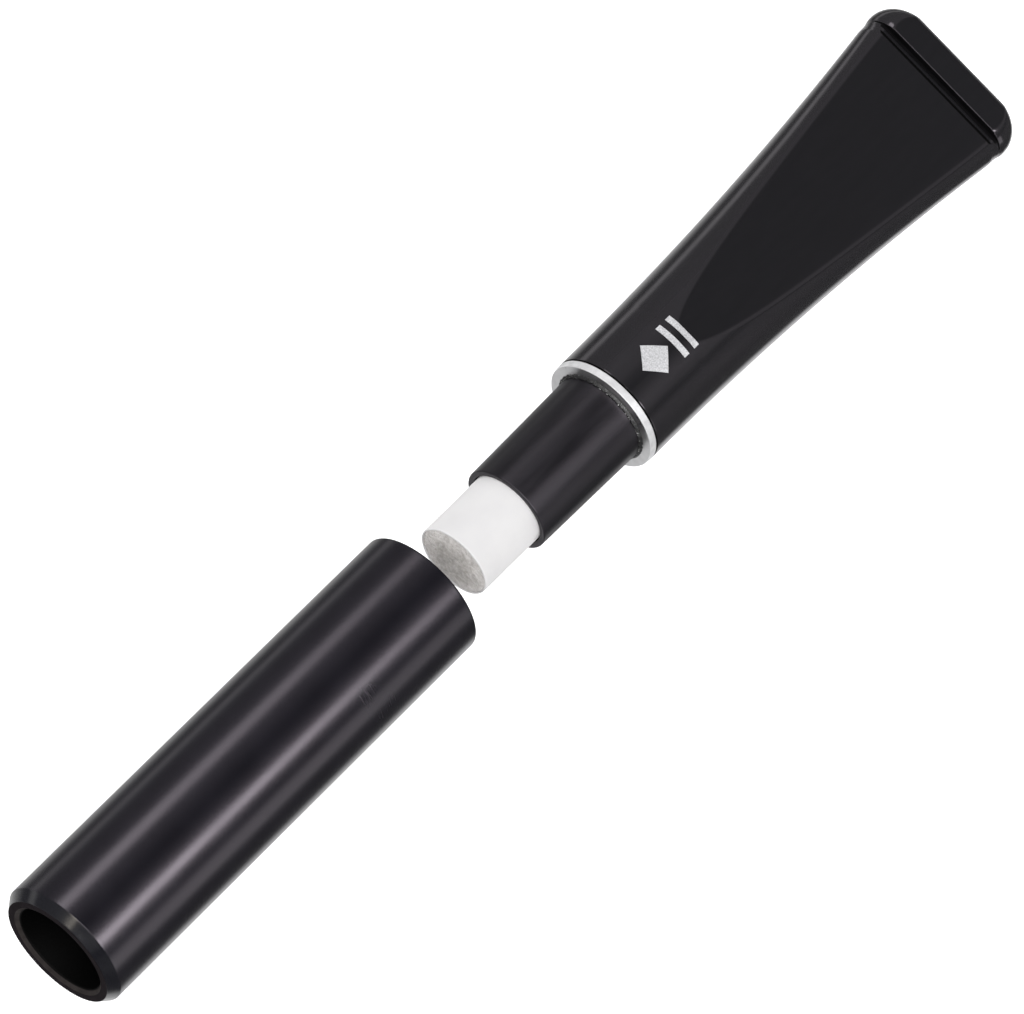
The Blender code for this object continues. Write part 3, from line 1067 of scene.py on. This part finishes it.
def printed_patch(corner, side_a, side_b):
    """A thin four-sided patch of ink that follows the surface, as points and faces."""
    points, faces = [], []
    width = PRINT_STEPS + 1
    for lift in (PRINT_RISE, -PRINT_SINK):
        for j in range(width):
            for i in range(width):
                place = corner + (side_a * i + side_b * j) / PRINT_STEPS
                height = surface_height(place.x, place.y) + lift
                points.append((BODY_LOW.x + place.x, place.y, AXIS_HEIGHT + height))
    under = width * width
    for j in range(PRINT_STEPS):
        for i in range(PRINT_STEPS):
            a = j * width + i
            b, c, d = a + 1, a + width + 1, a + width
            faces += [(a, b, c, d), (under + d, under + c, under + b, under + a)]
    edge = list(range(width)) + [j * width + PRINT_STEPS for j in range(1, width)]
    edge += [PRINT_STEPS * width + i for i in range(PRINT_STEPS - 1, -1, -1)]
    edge += [j * width for j in range(PRINT_STEPS - 1, 0, -1)]
    for here, following in zip(edge, edge[1:] + edge[:1]):
        faces.append((following, here, under + here, under + following))
    return points, faces


def make_mark():
    """A lozenge and two bars, each a corner and two sides in depth and y."""
    lozenge_sides = (Vector((LOZENGE_REACH, LOZENGE_REACH)), Vector((LOZENGE_REACH, -LOZENGE_REACH)))
    bar_sides = (Vector((0.0, BAR_LENGTH)), Vector((BAR_THICKNESS, 0.0)))
    points, faces = [], []
    add_shape(points, faces, printed_patch(Vector(LOZENGE_CORNER), *lozenge_sides))
    for depth in BAR_DEPTHS:
        add_shape(points, faces, printed_patch(Vector((depth, BAR_START)), *bar_sides))
    make_piece("printed_mark", points, faces, silver_print(), "handle", "ring_silver")


# Hidden nodes keep their CAD shape and take a better material


def dress_hidden_nodes():
    """Fibre on the filter's rear plug and granules on its charcoal bed."""
    for node, material in (("rear_filter_plug", cut_fibre()), ("charcoal_bed", charcoal())):
        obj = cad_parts[node]
        obj.data.materials.clear()
        obj.data.materials.append(material)


# Floor, light and camera, in metres


FLOOR_HALF_WIDTH = 4.0
FLOOR_GAP = 0.00005
FLOOR_GLOW = 0.8


def make_floor():
    """A pale seamless table that the gloss black doesn't mirror."""
    half = FLOOR_HALF_WIDTH
    mesh = bpy.data.meshes.new("floor")
    corners = [(-half, -half, 0.0), (half, -half, 0.0), (half, half, 0.0), (-half, half, 0.0)]
    mesh.from_pydata(corners, [], [(0, 1, 2, 3)])
    floor = bpy.data.objects.new("floor", mesh)
    floor.location.z = -FLOOR_GAP
    floor.visible_glossy = False
    look = Look("floor_white", (0.86, 0.86, 0.86), 0.9)
    look.set("Specular IOR Level", 0.0)
    look.set("Emission Color", (1.0, 1.0, 1.0, 1.0))
    look.set("Emission Strength", FLOOR_GLOW)
    mesh.materials.append(look.material)
    bpy.context.scene.collection.objects.link(floor)


# Long soft boxes: name, turn from straight up towards +Y, spread (degrees), +X end, radiance
STRIP_LIGHTS = (
    ("strip_right", -34, 13, 0.185, 12.0),
    ("strip_left", 47, 16, 0.20, 4.5),
    ("strip_low", -78, 24, 0.23, 1.5),
)
STRIP_DISTANCE = 0.5
STRIP_START = -0.35
SOFT_BOX_TOWARDS = (-0.72, 0.27, 0.64)
SOFT_BOX_DISTANCE = 1.2
SOFT_BOX_SPREAD = math.radians(11)
SOFT_BOX_RADIANCE = 8.0
SOFT_BOX_COLOUR = (1.0, 0.92, 0.80)
SUN_TOWARDS = (-0.43, 0.0, 0.90)
SUN_WIDTH = math.radians(40)
SUN_STRENGTH = 2.7


def strip_light(name, turn, spread, end, radiance):
    """A long soft box beside the axis, for gloss only."""
    width = 2 * STRIP_DISTANCE * math.tan(spread / 2)
    light = bpy.data.lights.new(name, "AREA")
    light.shape = "RECTANGLE"
    light.size = end - STRIP_START
    light.size_y = width
    light.energy = radiance * math.pi * light.size * width
    lamp = bpy.data.objects.new(name, light)
    away = Vector((0.0, math.sin(turn), math.cos(turn)))
    across = Vector((1.0, 0.0, 0.0)).cross(-away)
    lamp.matrix_world = Matrix(
        (
            (1.0, -across.x, away.x, (STRIP_START + end) / 2),
            (0.0, -across.y, away.y, away.y * STRIP_DISTANCE),
            (0.0, -across.z, away.z, away.z * STRIP_DISTANCE + AXIS_HEIGHT * MM),
            (0.0, 0.0, 0.0, 1.0),
        )
    )
    lamp.visible_camera = False
    lamp.visible_diffuse = False
    bpy.context.scene.collection.objects.link(lamp)


def soft_box(name):
    """A square beige soft box that faces the middle of the object, for gloss only."""
    light = bpy.data.lights.new(name, "AREA")
    light.size = 2 * SOFT_BOX_DISTANCE * math.tan(SOFT_BOX_SPREAD / 2)
    light.energy = SOFT_BOX_RADIANCE * math.pi * light.size**2
    light.color = SOFT_BOX_COLOUR
    lamp = bpy.data.objects.new(name, light)
    away = Vector(SOFT_BOX_TOWARDS).normalized()
    lamp.location = away * SOFT_BOX_DISTANCE
    lamp.rotation_mode = "QUATERNION"
    lamp.rotation_quaternion = away.to_track_quat("Z", "Y")
    lamp.visible_camera = False
    lamp.visible_diffuse = False
    bpy.context.scene.collection.objects.link(lamp)


def soft_sun(name):
    """Even light from a wide patch of sky, so the whole table is equally bright."""
    light = bpy.data.lights.new(name, "SUN")
    light.angle = SUN_WIDTH
    light.energy = SUN_STRENGTH
    lamp = bpy.data.objects.new(name, light)
    lamp.rotation_mode = "QUATERNION"
    lamp.rotation_quaternion = Vector(SUN_TOWARDS).to_track_quat("Z", "Y")
    bpy.context.scene.collection.objects.link(lamp)


def make_lights():
    """Strips for the tube's stripes and low side, a box for its chamfer, a sun for the table."""
    for name, turn, spread, end, radiance in STRIP_LIGHTS:
        strip_light(name, math.radians(turn), math.radians(spread), end, radiance)
    soft_box("chamfer_glint")
    soft_sun("overhead")


# Radiance of the room by the turn about the long axis, from straight up towards +Y
STRAIGHT_DOWN = 0.55
ROOM_BANDS = (
    (-165, 1.2),
    (-144, 1.2),
    (-136, 0.11),
    (-108, 0.12),
    (-92, 0.20),
    (-66, 0.24),
    (-62, 0.10),
    (-54, 0.12),
    (-48, 0.36),
    (-25, 0.45),
    (-12, 0.22),
    (0, 0.01),
    (12, 0.16),
    (25, 0.42),
    (75, 0.30),
    (101, 0.22),
    (106, 1.1),
    (112, 1.0),
    (118, 0.12),
    (129, 0.14),
    (138, 0.50),
    (152, 0.80),
    (170, 0.80),
)
BACKDROP_RADIANCE = 1.1


def grey(value):
    """An opaque grey as red, green, blue and alpha."""
    return (value, value, value, 1.0)


def make_world():
    """Bands round the long axis for reflections and light, and plain white for the camera."""
    world = bpy.data.worlds.new("studio")
    world.use_nodes = True
    tree = world.node_tree
    nodes = tree.nodes
    nodes.clear()
    direction = nodes.new("ShaderNodeTexCoord").outputs["Generated"]
    parts = nodes.new("ShaderNodeSeparateXYZ")
    turn = nodes.new("ShaderNodeMath")
    turn.operation = "ARCTAN2"
    share = nodes.new("ShaderNodeMapRange")
    share.inputs["From Min"].default_value = -math.pi
    share.inputs["From Max"].default_value = math.pi
    ramp = nodes.new("ShaderNodeValToRGB")
    for end in ramp.color_ramp.elements:
        end.color = grey(STRAIGHT_DOWN)
    for degrees, radiance in ROOM_BANDS:
        stop = ramp.color_ramp.elements.new((degrees + 180) / 360)
        stop.color = grey(radiance)
    room = nodes.new("ShaderNodeBackground")
    white = nodes.new("ShaderNodeBackground")
    white.inputs["Strength"].default_value = BACKDROP_RADIANCE
    chooser = nodes.new("ShaderNodeMixShader")
    output = nodes.new("ShaderNodeOutputWorld")
    seen = nodes.new("ShaderNodeLightPath").outputs["Is Camera Ray"]
    tree.links.new(direction, parts.inputs["Vector"])
    tree.links.new(parts.outputs["Y"], turn.inputs[0])
    tree.links.new(parts.outputs["Z"], turn.inputs[1])
    tree.links.new(turn.outputs["Value"], share.inputs["Value"])
    tree.links.new(share.outputs["Result"], ramp.inputs["Fac"])
    tree.links.new(ramp.outputs["Color"], room.inputs["Color"])
    tree.links.new(seen, chooser.inputs["Fac"])
    tree.links.new(room.outputs["Background"], chooser.inputs[1])
    tree.links.new(white.outputs["Background"], chooser.inputs[2])
    tree.links.new(chooser.outputs["Shader"], output.inputs["Surface"])
    bpy.context.scene.world = world


CAMERA_AIM = Vector((-2.18, -0.22, 7.6)) * MM
CAMERA_DISTANCE = 766.24 * MM
CAMERA_ELEVATION = math.radians(64.39)
CAMERA_HEADING = math.radians(-1.66)
CAMERA_ROLL = math.radians(47.25)
LENS_MM = 253.72
SENSOR_WIDTH_MM = 36.0
CLIP_START = 0.01
CLIP_END = 20.0


def make_camera():
    """High up before the tube's mouth, rolled so that the holder runs to the upper right."""
    flat = Vector((math.cos(CAMERA_HEADING), math.sin(CAMERA_HEADING), 0.0))
    forward = flat * math.cos(CAMERA_ELEVATION) - Vector((0.0, 0.0, math.sin(CAMERA_ELEVATION)))
    level = forward.cross(Vector((0.0, 0.0, 1.0))).normalized()
    upright = level.cross(forward)
    right = level * math.cos(CAMERA_ROLL) + upright * math.sin(CAMERA_ROLL)
    up = right.cross(forward)
    data = bpy.data.cameras.new("camera")
    data.lens = LENS_MM
    data.sensor_width = SENSOR_WIDTH_MM
    data.clip_start = CLIP_START
    data.clip_end = CLIP_END
    camera = bpy.data.objects.new("camera", data)
    place = CAMERA_AIM - forward * CAMERA_DISTANCE
    rows = [(right[i], up[i], -forward[i], place[i]) for i in range(3)]
    camera.matrix_world = Matrix((*rows, (0.0, 0.0, 0.0, 1.0)))
    bpy.context.scene.collection.objects.link(camera)
    bpy.context.scene.camera = camera


# The scene


make_camera()
# Near-black painted shade for the tube's bore and the mouthpiece's step, notch and edge at the ring
painted_shade = painted_shade_black()
make_front_tube(painted_shade)
make_filter_paper()
make_fibre_plug()
make_sleeve()
make_ring()
make_glue()
make_highlight_crumbs()
make_mouthpiece(painted_shade)
make_mark()
dress_hidden_nodes()
make_floor()
make_lights()
make_world()
bpy.context.scene.view_settings.view_transform = "Standard"
